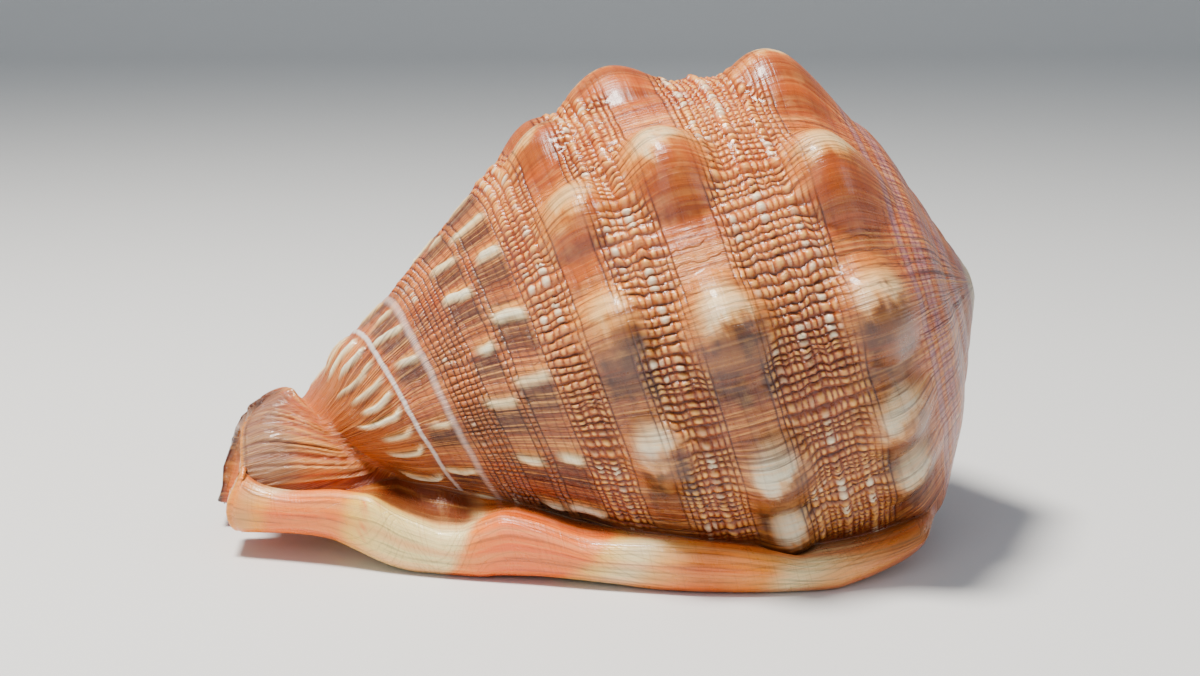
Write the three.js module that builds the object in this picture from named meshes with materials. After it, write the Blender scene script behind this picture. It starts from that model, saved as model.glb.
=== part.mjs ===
// Bullmouth helmet shell, lying on its flat mouth side. Millimetres, +Z up.
// The pointed coiled end (spire) is at +X, the short turned-up canal at -X, the
// mouth slit faces down. The side at -Y is the inner, shield side of the mouth and
// the side at +Y is the outer lip. The shell has grown in one piece, so it is one
// closed body: the knobbed last whorl, the coiled top, the broad shield and lip
// that it lies on, the toothed mouth slit between them and the twisted front band.
import * as THREE from 'three';

// ---- how the shell lies ----
const TILT = 13.8 * Math.PI / 180;      // coiling axis, nose up at the coiled end
const TIP = [77.035, -4.125, 49.4];       // point that the growth spiral starts from
const TURN = 2 * Math.PI;

// ---- stations along the coiling axis, measured from the tip ----
const TIP_STATION = 1.5;                // blunt end of the spire
const TIP_ROUNDING = 0.7;
const FRONT_STATION = 156;              // end of the canal
const SPIRE_STATIONS = [1.5, 2.2, 3.2, 4.8, 7, 9.5, 12, 14.5, 16.5, 18.5, 20.5, 22.5, 25];
const BODY_START = 27.5;                // first station of the evenly spaced ones
const BODY_STEP = 2.7;                  // half of the pitch of the teeth
const BODY_COUNT = 38;
const FRONT_STATIONS = [130, 133, 136, 139, 142, 145, 148, 151, 153.5, 156];
const BODY_POINTS = 52;                 // points over the back of each section

// ---- the growing whorl: distance from the axis against the row coordinate ----
const SUTURE_ROW = 16;                  // seam between the last two whorls, on top
const SUTURE_RADIUS = 36.8;
const SPIRE_GROWTH = 1.5;               // size of each whorl over the one before
const WHORL_SWELL = 0.05;               // roundness of the small whorls
const SWELL_POWER = 0.8;
const BACK_GROWTH = 1.4;                // the last whorl widens more slowly
const FRONT_GROWTH_DROP = 0.05;
const BACK_GROWTH_ROWS = [18, 40];      // rows over which the growth slows down
const FRONT_GROWTH_ROWS = [90, 120];
const ROW_ROUNDS = 9;                   // repeats until the row settles
const SEAM_FADE_ANGLE = -130;           // degrees, where a small whorl starts to meet the next
const SEAM_FADE_STATIONS = [20, 32];
const BACK_PROFILE = [[16, 36.8], [20, 40.8], [24, 44.6], [29, 48.7], [36.5, 51.5], [46.5, 53.2],
  [60.5, 54.6], [68, 53.9], [75.5, 52], [81.5, 49.3], [88.5, 45.4], [99, 37.8], [107.5, 31.4],
  [113, 27.2], [120.3, 22.4], [127.5, 18.4], [133, 14], [140, 8]];

// ---- knobs: row, angle from the top in degrees (+ to the lip), height, half widths ----
const KNOBS = [
  [30.5, -7, 7.4, 12.5, 15], [29, -44, 7.6, 11.5, 15], [29, -78, 7.4, 11, 14],
  [30.5, -105, 5, 10, 11], [29.5, -125, 2.8, 9, 10], [30.5, 34, 6.4, 10, 15],
  [29.5, 74, 6, 11, 17], [29.5, 114, 5.2, 10.5, 16], [62.5, 4, 5.6, 12, 14],
  [60, -37, 6.8, 10.5, 14], [59, -74, 6.8, 10.5, 13], [58, -108, 5.2, 10, 12],
  [57.5, -127, 3.4, 8, 9], [60.5, 47, 5.4, 10, 15], [60.5, 88, 4.6, 10, 15],
  [80.5, -10, 4, 8.5, 11], [79.5, -40, 4.8, 8.5, 11], [79.5, -68, 4.8, 8.5, 11],
  [78.5, -98, 4, 8.5, 11], [79.5, 22, 3.8, 8, 12], [79.5, 56, 3.8, 8, 12], [79.5, 90, 3.4, 8, 12]];
const KNOB_ROUNDNESS = 1.3;

// ---- shield, lip and mouth along the axis: [station, millimetres] ----
const SHIELD_EDGE = [[20, -27], [24, -31.5], [30, -37.5], [36, -42], [42, -45.5], [50, -48],
  [60, -48.5], [70, -47.5], [80, -45], [90, -42], [100, -38.5], [110, -35.5], [116, -33.5],
  [125, -29.8], [135, -24.8], [145, -20.8], [156, -17]];
const SHIELD_TOP = [[20, 9.5], [26.5, 7.2], [33.5, 6.5], [43, 6.3], [50.5, 6.2], [56, 7.4],
  [65, 8.9], [77, 9.5], [87.5, 9.3], [97, 11.8], [102.5, 12.6], [105, 11.8], [108.5, 10.4],
  [111, 9.4], [114.5, 9.2], [118, 10.1], [122, 11.6], [127, 14.4], [131.5, 14.5], [143, 13.7],
  [156, 12.4]];
const SHIELD_ROOT = [[20, 10], [26.5, 7.2], [33.5, 6], [43, 5.4], [50.5, 5.4], [56, 6.4],
  [65, 7.8], [77, 8.6], [87.5, 8.6], [97, 10.4], [103, 11.2], [109, 12], [115, 13.6],
  [122, 13.4], [130, 12], [140, 11], [156, 9.8]];
const SHIELD_TROUGH = [[100, 0], [108, 2.2], [118, 2.6], [126, 1.5], [132, 0]];
const UNDERSIDE = [[18, 7.4], [24, 5.4], [30, 3], [36, 1.7], [42, 0.7], [46.5, 0], [77, 0],
  [86, 0.6], [97, 1], [105, 0.7], [110.5, 0], [121.5, 0], [125, 0.6], [128, 1.5], [132, 3.1],
  [136.5, 4.6], [141, 4.9], [153, 4.2], [156, 4]];
const LIP_EDGE = [[18, 30], [22, 39], [27, 46], [34, 52.5], [42, 57.5], [50, 60.3], [60, 61.5],
  [70, 60.5], [80, 57.6], [90, 53], [100, 47], [110, 39.6], [120, 31.8], [130, 24.6], [140, 19], [156, 15]];
const LIP_ROOT = [[18, 16], [24, 13], [32, 11], [45, 10.5], [80, 10.5], [100, 11], [115, 12.5],
  [128, 15.5], [140, 17], [156, 16.5]];
const SLIT_MIDDLE = [[20, 13], [40, 10.5], [60, 8.8], [80, 6.8], [100, 4.2], [120, 1.6], [140, 0], [156, 0]];
const SLIT_HALF = [[22, 0.8], [28, 2], [36, 4.4], [48, 5.4], [70, 5.6], [90, 5.2], [110, 4.5],
  [125, 4.1], [140, 4], [156, 4.4]];
const HOLLOW_HEIGHT = [[22, 1.2], [27, 4], [34, 14], [45, 25], [60, 32], [78, 33], [92, 28],
  [105, 22], [118, 17.5], [130, 15], [140, 14.5], [156, 16]];
const FULL_HOLLOW = 33;
const MOUTH_OPENS = [18, 27];           // the shield and lip rise out of the whorl here
const CLOSED_JOIN = 150;                // degrees, where both sides meet on the spire
const TOOTH_PITCH = 5.4;
const TOOTH_HEIGHT = 1.2;
const FOLD_HEIGHT = 0.8;
const TEETH_FROM = [30, 40];
const TEETH_TO = [112, 126];
const LOWEST_ON_SPIRE = [[0, -20], [8, 4], [12, 8.5], [16, 9], [20, 7], [24, 4.6], [27, 2.5]];
const LOWEST_FROM = 6;

// ---- twisted band round the canal ----
const BAND_GROOVE = [[-180, 114], [-150, 119], [-125, 124], [-80, 131], [-30, 135.5], [0, 137.5],
  [60, 141], [120, 146], [180, 150]];   // [degrees, station of its rear edge]
const BAND_RADIUS = 9.5;
const BAND_SWELL = 5.2;
const BAND_RISE = 9;                    // distance over which the band swells
const BAND_STEEPNESS = 2.2;
const BAND_START = 1.5;                 // reach of the band before its groove
const BAND_FADE = [20, 110];            // degrees, over which it flattens towards the lip
const BAND_NARROWS = [148, 162];        // stations, over which it loses this share
const BAND_NARROWING = 0.45;
const CANAL_RADIUS = 10.5;
const CANAL_LIP_EXTRA = 3;
const CANAL_LIP_ANGLES = [30, 120];
const CANAL_GROWS = [118, 150];
const FILLET = [2.7, 0.27, 0.9, 1.2];   // reach, height, width and power where two shapes cross

// ---- end of the canal: [height above the axis, station], near wall and far wall ----
const BEND_STATION = 126;               // from here the sections lean towards this end
const BEND_POWER = 1.5;
const NEAR_END = [[-8, 154.6], [-5, 155], [-1.5, 154], [1, 152], [3, 150.6], [9.7, 149],
  [12, 146.6], [13.5, 142.5], [15, 140]];
const FAR_END = [[-8, 159.6], [-5.5, 159.6], [-2, 157.6], [1.2, 156.4], [4.2, 154], [8.4, 151],
  [11.9, 147.5], [13.3, 145], [14.5, 141], [16, 140]];
const FAR_FROM = [-2.5, 4];             // across the axis, from near wall to far wall

// ---- rounding of the rims, in millimetres across or up from the edges above ----
const ROLL = 3;                         // width of the rounded rim of shield and lip
const SWELL_UP = 4.6;                   // height of the thickest part of the lip
const WALL_STEP_FROM = 60;              // degrees, where the search for the wall starts
const WALL_STEPS = 118;

const smooth = (a, b, x) => {
  const t = Math.min(1, Math.max(0, (x - a) / (b - a)));
  return t * t * (3 - 2 * t);
};

// smooth line through a table of points, with no overshoot
function curve(x, table) {
  const n = table.length;
  const slope = i => (table[i + 1][1] - table[i][1]) / (table[i + 1][0] - table[i][0]);
  const tangent = i => {
    if (i === 0) return slope(0);
    if (i === n - 1) return slope(n - 2);
    const a = slope(i - 1), b = slope(i);
    return a * b <= 0 ? 0 : 2 * a * b / (a + b);
  };
  const c = Math.min(table[n - 1][0], Math.max(table[0][0], x));
  let i = 0;
  while (i < n - 2 && c >= table[i + 1][0]) i += 1;
  const h = table[i + 1][0] - table[i][0];
  const t = (c - table[i][0]) / h;
  return (2 * t ** 3 - 3 * t ** 2 + 1) * table[i][1] + (t ** 3 - 2 * t ** 2 + t) * h * tangent(i)
    + (3 * t ** 2 - 2 * t ** 3) * table[i + 1][1] + (t ** 3 - t ** 2) * h * tangent(i + 1);
}

// row coordinate: the station at which the same growth line row crosses the top
const growthAt = v => SPIRE_GROWTH
  - (SPIRE_GROWTH - BACK_GROWTH) * smooth(BACK_GROWTH_ROWS[0], BACK_GROWTH_ROWS[1], v)
  - FRONT_GROWTH_DROP * smooth(FRONT_GROWTH_ROWS[0], FRONT_GROWTH_ROWS[1], v);
function rowAt(s, angle) {
  let v = s / BACK_GROWTH ** (angle / TURN);
  for (let k = 0; k < ROW_ROUNDS; k += 1) v = s / growthAt(v) ** (angle / TURN);
  return v;
}

// distance of the plain whorl from the axis
function whorlRadius(s, angle) {
  const v = rowAt(s, angle);
  const turns = Math.log(v / SUTURE_ROW) / Math.log(SPIRE_GROWTH);
  const within = turns - Math.floor(turns);
  const small = SUTURE_RADIUS / SUTURE_ROW * v * (1 + WHORL_SWELL * Math.sin(Math.PI * within) ** SWELL_POWER);
  return (v < SUTURE_ROW ? small : curve(v, BACK_PROFILE)) * s / v;
}

function knobHeight(v, angle) {
  const deg = angle * 180 / Math.PI;
  let h = 0;
  for (const [row, at, high, wide, long] of KNOBS) {
    const d = ((v - row) / wide) ** 2 + ((deg - at) / long) ** 2;
    if (d < 1) h = Math.max(h, high * (1 - d) ** KNOB_ROUNDNESS);
  }
  return h;
}

// whorl with knobs; the two ends of the turn are brought together on the spire
function backRadius(s, angle, knobs) {
  const seam = whorlRadius(s, Math.PI) - whorlRadius(s, -Math.PI);
  const fade = (1 - smooth(-Math.PI, SEAM_FADE_ANGLE * Math.PI / 180, angle))
    * (1 - smooth(SEAM_FADE_STATIONS[0], SEAM_FADE_STATIONS[1], s));
  return whorlRadius(s, angle) + knobs * knobHeight(rowAt(s, angle), angle) + seam * fade;
}

// swollen band that winds round the canal behind its groove
function bandRadius(s, angle) {
  const deg = angle * 180 / Math.PI;
  const groove = curve(deg, BAND_GROOVE);
  if (s <= groove - BAND_START) return 0;
  const rise = 1 - Math.exp(-BAND_STEEPNESS * Math.max(0, (s - groove) / BAND_RISE));
  return BAND_RADIUS + BAND_SWELL * rise * (1 - smooth(BAND_FADE[0], BAND_FADE[1], deg))
    * (1 - BAND_NARROWING * smooth(BAND_NARROWS[0], BAND_NARROWS[1], s));
}

function outerRadius(s, angle, knobs) {
  const wide = smooth(CANAL_LIP_ANGLES[0], CANAL_LIP_ANGLES[1], angle * 180 / Math.PI);
  const canal = (CANAL_RADIUS + CANAL_LIP_EXTRA * wide) * smooth(CANAL_GROWS[0], CANAL_GROWS[1], s);
  const a = Math.max(backRadius(s, angle, knobs), canal);
  const b = bandRadius(s, angle);
  const d = Math.abs(a - b);
  const [reach, high, width, power] = FILLET;
  return Math.max(a, b) + (d < reach ? high * Math.exp(-((d / width) ** power)) : 0);
}

const heightOf = (s, u) => TIP[2] - s * Math.sin(TILT) + u * Math.cos(TILT);
const upOf = (s, z) => (z - TIP[2] + s * Math.sin(TILT)) / Math.cos(TILT);
const place = (s, y, u) => [
  TIP[0] - s * Math.cos(TILT) - u * Math.sin(TILT), TIP[1] + y, heightOf(s, u)];

// angle at which the wall comes down to height z, on the lip side (+1) or shield side (-1)
function wallMeets(s, z, side) {
  const at = i => side * (WALL_STEP_FROM + i) * Math.PI / 180;
  const high = a => heightOf(s, outerRadius(s, a, 0) * Math.cos(a));
  for (let i = 1; i <= WALL_STEPS; i += 1) {
    const below = high(at(i));
    if (below <= z) {
      const above = high(at(i - 1));
      const t = Math.min(1, Math.max(0, (above - z) / (above - below)));
      return at(i - 1) + (at(i) - at(i - 1)) * t;
    }
  }
  return at(WALL_STEPS);
}

const teethAt = s => smooth(TEETH_FROM[0], TEETH_FROM[1], s) * (1 - smooth(TEETH_TO[0], TEETH_TO[1], s));

// underside of one section, from the lip wall round to the shield wall, as [across, height]
function underside(s, lipY, lipZ, shieldY, shieldZ) {
  const lip = curve(s, LIP_EDGE), shield = curve(s, SHIELD_EDGE), low = curve(s, UNDERSIDE);
  const top = curve(s, SHIELD_TOP), mid = curve(s, SLIT_MIDDLE), half = curve(s, SLIT_HALF);
  const deep = curve(s, HOLLOW_HEIGHT), k = deep / FULL_HOLLOW;
  const phase = Math.cos(Math.PI * (s - BODY_START) / TOOTH_PITCH) ** 2;
  const lipWall = mid + half - TOOTH_HEIGHT * phase * teethAt(s);
  const foldWall = mid - half + FOLD_HEIGHT * (1 - phase) * teethAt(s);
  const lipSwell = low + SWELL_UP;
  const hollowUp = curve(s, SHIELD_TROUGH);
  return [
    [lipY, lipZ],
    [0.45 * lipY + 0.55 * (lip - 1), Math.min(lipZ - 1.2, lipSwell + 3.6)],
    [lip, lipSwell + 0.6], [lip - 0.2, low + 2], [lip - ROLL, low], [0.9 * lip - ROLL, low],
    [0.62 * lip + 0.38 * (mid + half), low + 0.9], [lipWall + 2.6, low + 0.5], [lipWall, low + 2],
    [mid + half + k, low + 0.33 * deep], [mid + half + 9 * k, low + 0.72 * deep],
    [mid + 5 * k, low + deep], [mid - half - 3 * k, low + 0.78 * deep],
    [mid - half - k, low + 0.36 * deep], [foldWall, low + 1.9], [foldWall - 2.4, low + 0.5],
    [0.5 * (mid - half) + 0.5 * (shield + 3 * ROLL), low + 1], [shield + 3 * ROLL, low], [shield + ROLL, low],
    [shield + 0.3, low + 1.7], [shield, 0.45 * low + 0.55 * top], [shield + 1.2, top - 0.9],
    [shield + 4, top],
    [0.4 * (shield + 4) + 0.6 * shieldY, 0.35 * top + 0.65 * shieldZ + 0.2 - hollowUp],
    [shieldY, shieldZ]];
}

// one section: points round the shell, starting where the shield meets the whorl
function section(s) {
  const open = smooth(MOUTH_OPENS[0], MOUTH_OPENS[1], s);
  const closed = CLOSED_JOIN * Math.PI / 180;
  const from = -closed * (1 - open) + wallMeets(s, curve(s, SHIELD_ROOT), -1) * open;
  const to = closed * (1 - open) + wallMeets(s, curve(s, LIP_ROOT), 1) * open;
  const ring = [];
  for (let i = 0; i < BODY_POINTS; i += 1) {
    const a = from + (to - from) * i / (BODY_POINTS - 1);
    const r = outerRadius(s, a, 1);
    ring.push([r * Math.sin(a), r * Math.cos(a)]);
  }
  const [shieldY, shieldU] = ring[0];
  const [lipY, lipU] = ring[BODY_POINTS - 1];
  const under = underside(s, lipY, heightOf(s, lipU), shieldY, heightOf(s, shieldU));
  for (let i = 1; i < under.length - 1; i += 1) {
    const turn = to + (from + TURN - to) * i / (under.length - 1);
    const a = turn > Math.PI ? turn - TURN : turn;
    const r = outerRadius(s, a, 1);
    let u = r * Math.cos(a);
    if (s > LOWEST_FROM) u = Math.max(u, upOf(s, curve(s, LOWEST_ON_SPIRE)));
    ring.push([under[i][0] * open + r * Math.sin(a) * (1 - open),
      upOf(s, under[i][1]) * open + u * (1 - open)]);
  }
  return ring;
}

function shellGeometry() {
  const stations = [...SPIRE_STATIONS];
  for (let i = 0; i < BODY_COUNT; i += 1) stations.push(BODY_START + BODY_STEP * i);
  stations.push(...FRONT_STATIONS);
  const verts = [];
  const faces = [];
  let last = null;
  for (const s of stations) {
    const ring = section(s);
    const along = (s - BEND_STATION) / (FRONT_STATION - BEND_STATION);
    const bend = Math.min(1, Math.max(0, along)) ** BEND_POWER;
    for (const [y, u] of ring) {
      const far = smooth(FAR_FROM[0], FAR_FROM[1], y);
      const end = curve(u, NEAR_END) * (1 - far) + curve(u, FAR_END) * far;
      verts.push(...place(s + (end - FRONT_STATION) * bend, y, u));
    }
    last = ring;
  }
  const n = last.length;
  for (let i = 0; i < stations.length - 1; i += 1) {
    for (let j = 0; j < n; j += 1) {
      const a = i * n + j, b = i * n + (j + 1) % n, c = b + n, d = a + n;
      faces.push(a, c, d, a, b, c);
    }
  }
  // blunt tip of the spire
  const tip = verts.length / 3;
  verts.push(...place(TIP_STATION - TIP_ROUNDING, 0, 0));
  for (let j = 0; j < n; j += 1) faces.push((j + 1) % n, j, tip);
  // front face round the mouth of the canal
  const outline = last.map(([y, u]) => new THREE.Vector2(y, u));
  const base = (stations.length - 1) * n;
  const clockwise = THREE.ShapeUtils.isClockWise(outline);
  for (const [a, b, c] of THREE.ShapeUtils.triangulateShape(outline, [])) {
    if (clockwise) faces.push(base + a, base + c, base + b);
    else faces.push(base + a, base + b, base + c);
  }
  const geometry = new THREE.BufferGeometry();
  geometry.setAttribute('position', new THREE.Float32BufferAttribute(verts, 3));
  geometry.setIndex(faces);
  geometry.computeVertexNormals();
  return geometry;
}

const shell = new THREE.Mesh(shellGeometry(), new THREE.MeshStandardMaterial({
  color: 0xc98a66, roughness: 0.35, metalness: 0 }));
shell.name = 'shell';

const part = new THREE.Group();
part.name = 'bullmouth_helmet_shell';
part.add(shell);
export default part;
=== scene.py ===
import math

import bpy
import numpy as np
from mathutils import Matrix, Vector
from mathutils.geometry import tessellate_polygon


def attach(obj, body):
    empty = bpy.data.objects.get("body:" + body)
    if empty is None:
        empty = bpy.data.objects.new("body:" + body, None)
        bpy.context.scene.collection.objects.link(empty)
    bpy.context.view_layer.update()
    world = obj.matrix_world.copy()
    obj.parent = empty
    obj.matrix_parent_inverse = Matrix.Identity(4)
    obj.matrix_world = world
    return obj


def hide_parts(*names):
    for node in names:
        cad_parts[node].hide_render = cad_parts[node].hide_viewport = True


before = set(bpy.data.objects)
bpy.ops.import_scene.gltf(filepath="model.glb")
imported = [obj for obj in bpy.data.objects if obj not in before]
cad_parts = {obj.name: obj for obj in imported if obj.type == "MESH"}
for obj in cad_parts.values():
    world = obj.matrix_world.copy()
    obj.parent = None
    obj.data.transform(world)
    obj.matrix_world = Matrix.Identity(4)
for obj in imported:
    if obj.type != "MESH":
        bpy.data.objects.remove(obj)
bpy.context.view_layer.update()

# The shell
# A full-grown bullmouth helmet shell, grown in one piece of polished porcelain-like lime.
# It coils to the right round an axis tilted nose-up at the pointed end (+X) and lies on the
# rims of its shield (-Y) and its lip (+Y), with the toothed mouth slit between them.

# Lengths here are millimetres. "station" is the distance along the coiling axis from the
# tip, "angle" goes round it from the top, positive towards the lip, and "row" is the
# station at which the spiral line through a point crosses the top.
axis_tilt = math.radians(13.8)
spiral_tip = np.array([77.035, -4.125, 49.4])
full_turn = 2 * math.pi
front_station = 156.0


def ease(a, b, x):
    """0 below a, 1 above b, and 3t^2 - 2t^3 between them."""
    t = np.clip((x - a) / (b - a), 0, 1)
    return t * t * (3 - 2 * t)


def line_through(x, table):
    """Cubic line through a table of points; each slope is the harmonic mean of its two
    neighbours, so the line never overshoots a point."""
    xs = np.array([p[0] for p in table], float)
    ys = np.array([p[1] for p in table], float)
    d = np.diff(ys) / np.diff(xs)
    same = d[:-1] * d[1:] > 0
    inner = np.where(same, 2 * d[:-1] * d[1:] / np.where(same, d[:-1] + d[1:], 1), 0)
    m = np.concatenate([d[:1], inner, d[-1:]])
    x = np.clip(x, xs[0], xs[-1])
    i = np.clip(np.searchsorted(xs, x, side="right") - 1, 0, len(xs) - 2)
    h = xs[i + 1] - xs[i]
    t = (x - xs[i]) / h
    return ((2 * t ** 3 - 3 * t ** 2 + 1) * ys[i] + (t ** 3 - 2 * t ** 2 + t) * h * m[i]
            + (3 * t ** 2 - 2 * t ** 3) * ys[i + 1] + (t ** 3 - t ** 2) * h * m[i + 1])


# the plain whorl: (row, distance from the axis) along its back
back_profile = [(16, 36.8), (20, 40.8), (24, 44.6), (29, 48.7), (36.5, 51.5), (46.5, 53.2),
                (60.5, 54.6), (68, 53.9), (75.5, 52), (81.5, 49.3), (88.5, 45.4), (99, 37.8),
                (107.5, 31.4), (113, 27.2), (120.3, 22.4), (127.5, 18.4), (133, 14), (140, 8)]


def row_of(station, angle):
    """Row v with v = station / W(v)^(angle / one turn), found by repeating that line; the
    growth per turn W falls from 1.5 on the spire to 1.4 on the back and 1.35 in front."""
    v = station / 1.4 ** (angle / full_turn)
    for _ in range(9):
        w = 1.5 - 0.1 * ease(18, 40, v) - 0.05 * ease(90, 120, v)
        v = station / w ** (angle / full_turn)
    return v


def whorl_radius(station, angle):
    """Plain whorl: the back profile at this row, scaled by station / row. Before row 16
    the same swollen whorl repeats 1.5 times smaller each turn."""
    v = row_of(station, angle)
    turns = np.log(v / 16) / math.log(1.5)
    within = turns - np.floor(turns)
    small = back_profile[0][1] / 16 * v * (1 + 0.05 * np.sin(np.pi * within) ** 0.8)
    return np.where(v < 16, small, line_through(v, back_profile)) * station / v


# row, angle in degrees, height, half width along the row coordinate, half width in degrees,
# and how pale the knob's top is
knob_list = [(30.5, -7, 7.4, 12.5, 15, 0.85), (29, -44, 7.6, 11.5, 15, 0.7),
             (29, -78, 7.4, 11, 14, 0.75), (30.5, -105, 5, 10, 11, 0.8),
             (29.5, -125, 2.8, 9, 10, 0.7), (30.5, 34, 6.4, 10, 15, 0.6),
             (29.5, 74, 6, 11, 17, 0.6), (29.5, 114, 5.2, 10.5, 16, 0.6),
             (62.5, 4, 5.6, 12, 14, 0.8), (60, -37, 6.8, 10.5, 14, 1.0),
             (59, -74, 6.8, 10.5, 13, 0.9), (58, -108, 5.2, 10, 12, 0.95),
             (57.5, -127, 3.4, 8, 9, 0.8), (60.5, 47, 5.4, 10, 15, 0.7),
             (60.5, 88, 4.6, 10, 15, 0.7), (80.5, -10, 4, 8.5, 11, 0.7),
             (79.5, -40, 4.8, 8.5, 11, 0.6), (79.5, -68, 4.8, 8.5, 11, 0.55),
             (78.5, -98, 4, 8.5, 11, 0.9), (79.5, 22, 3.8, 8, 12, 0.5),
             (79.5, 56, 3.8, 8, 12, 0.5), (79.5, 90, 3.4, 8, 12, 0.5)]


def knob_height(row, angle):
    """Highest of the knobs' bumps (1 - d^2)^1.3, where d is the distance from the knob's
    centre in half widths."""
    deg = np.degrees(angle)
    high = np.zeros(row.shape)
    for at_row, at_deg, tall, wide, long, _ in knob_list:
        d = ((row - at_row) / wide) ** 2 + ((deg - at_deg) / long) ** 2
        high = np.maximum(high, tall * np.clip(1 - d, 0, 1) ** 1.3)
    return high


# the groove where the twisted front band begins: (degrees, station)
band_groove = [(-180, 114), (-150, 119), (-125, 124), (-80, 131), (-30, 135.5), (0, 137.5),
               (60, 141), (120, 146), (180, 150)]


def outer_radius(station, angle, knobs=1.0):
    """Larger of the knobbed whorl, the plain canal tube and the twisted band, with a small
    fillet where two of them cross. On the spire both ends of a turn are brought together."""
    station, angle = np.broadcast_arrays(station, angle)
    deg = np.degrees(angle)
    half = np.full(station.shape, math.pi)
    seam = whorl_radius(station, half) - whorl_radius(station, -half)
    fade = (1 - ease(-math.pi, math.radians(-130), angle)) * (1 - ease(20, 32, station))
    back = whorl_radius(station, angle) + seam * fade
    back = back + knobs * knob_height(row_of(station, angle), angle)
    canal = (10.5 + 3 * ease(30, 120, deg)) * ease(118, 150, station)
    back = np.maximum(back, canal)
    groove = line_through(deg, band_groove)
    rise = 1 - np.exp(-2.2 * np.clip((station - groove) / 9, 0, None))
    band = 9.5 + 5.2 * rise * (1 - ease(20, 110, deg)) * (1 - 0.45 * ease(148, 162, station))
    band = np.where(station > groove - 1.5, band, 0)
    gap = np.abs(back - band)
    return np.maximum(back, band) + np.where(gap < 2.7, 0.27 * np.exp(-(gap / 0.9) ** 1.2), 0)


def height_of(station, up):
    """World height of a point that lies "up" from the axis at a station."""
    return spiral_tip[2] - station * math.sin(axis_tilt) + up * math.cos(axis_tilt)


def up_of(station, z):
    """The inverse: how far up from the axis a world height lies at a station."""
    return (z - spiral_tip[2] + station * math.sin(axis_tilt)) / math.cos(axis_tilt)


def place(station, across, up):
    """World position of (station, across, up), across being world Y from the axis."""
    station, across, up = np.broadcast_arrays(station, across, up)
    return np.stack([spiral_tip[0] - station * math.cos(axis_tilt) - up * math.sin(axis_tilt),
                     spiral_tip[1] + across, height_of(station, up)], -1)


def wall_meets(stations, z, side):
    """Angle at which the knobless wall comes down to height z: the first of 119 one-degree
    steps from 60 degrees that is below z, refined by a straight line."""
    a = np.radians(60 + np.arange(119)) * side
    high = height_of(stations[:, None],
                     outer_radius(stations[:, None], a[None], 0) * np.cos(a)[None])
    below = high <= z[:, None]
    j = np.where(below.any(1), np.maximum(below.argmax(1), 1), 118)
    r = np.arange(len(stations))
    above = high[r, j - 1]
    t = np.clip((above - z) / np.maximum(above - high[r, j], 1e-6), 0, 1)
    return a[j - 1] + (a[j] - a[j - 1]) * t


# where the whorl's wall ends on the shield and on the lip: (station, height)
shield_root = [(20, 10), (26.5, 7.2), (33.5, 6), (43, 5.4), (50.5, 5.4), (56, 6.4), (65, 7.8),
               (77, 8.6), (87.5, 8.6), (97, 10.4), (103, 11.2), (109, 12), (115, 13.6),
               (122, 13.4), (130, 12), (140, 11), (156, 9.8)]
lip_root = [(18, 16), (24, 13), (32, 11), (45, 10.5), (80, 10.5), (100, 11), (115, 12.5),
            (128, 15.5), (140, 17), (156, 16.5)]

# sections and columns: fine on the back towards the camera, coarser on the far side
stations = np.concatenate([
    1.5 + 14.5 * np.linspace(0, 1, 26, endpoint=False) ** 1.3,
    np.linspace(16, 128, 188, endpoint=False),
    np.linspace(128, front_station, 34)])
near_columns, far_columns = 262, 64
station_col = stations[:, None]

mouth_open = ease(18, 27, stations)
closed_join = math.radians(150)
from_angle = -closed_join * (1 - mouth_open)
from_angle += wall_meets(stations, line_through(stations, shield_root), -1) * mouth_open
to_angle = closed_join * (1 - mouth_open)
to_angle += wall_meets(stations, line_through(stations, lip_root), 1) * mouth_open
turn_over = math.radians(25)
near_part = np.linspace(0, 1, near_columns)
far_part = np.linspace(0, 1, far_columns + 1)[1:]
angle = np.concatenate([from_angle[:, None] + (turn_over - from_angle[:, None]) * near_part,
                        turn_over + (to_angle[:, None] - turn_over) * far_part], 1)
radius = outer_radius(station_col, angle)
row = row_of(station_col + 0 * angle, angle)
deg = np.degrees(angle)


def grain(x, seed, step=1.0):
    """Smooth random line: random values at every whole step, eased between neighbours."""
    values = np.random.default_rng(seed).random(4096)
    q = x / step + 1024
    i = np.floor(q).astype(int)
    t = q - i
    t = t * t * (3 - 2 * t)
    return values[i % 4096] * (1 - t) + values[(i + 1) % 4096] * t


def grain2(x, y, seed, step_x=1.0, step_y=1.0):
    """Smooth random field: random values on a square lattice, eased along both ways."""
    values = np.random.default_rng(seed).random((256, 256))
    qx, qy = x / step_x + 100, y / step_y + 100
    i, j = np.floor(qx).astype(int), np.floor(qy).astype(int)
    t, u = qx - i, qy - j
    t, u = t * t * (3 - 2 * t), u * u * (3 - 2 * u)
    i, j, next_i, next_j = i % 256, j % 256, (i + 1) % 256, (j + 1) % 256
    near = values[i, j] * (1 - t) + values[next_i, j] * t
    far = values[i, next_j] * (1 - t) + values[next_i, next_j] * t
    return near * (1 - u) + far * u


# slant of the growth lines: degrees that they lean forward, against the row
growth_slant = [(10, 3), (20, 1.5), (37, 0), (51, -2.5), (60, -3), (70, -3), (80, -2.4),
                (90, -1), (94, 0), (100, 3.5), (107, 6), (114, 7), (121, 6), (126, 2), (133, -6)]
grow = deg - line_through(row, growth_slant) * (1 - 0.8 * ease(-40, -95, deg))
grow = grow + 0.8 * (grain(row, 5, 9.0) - 0.5)

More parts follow.
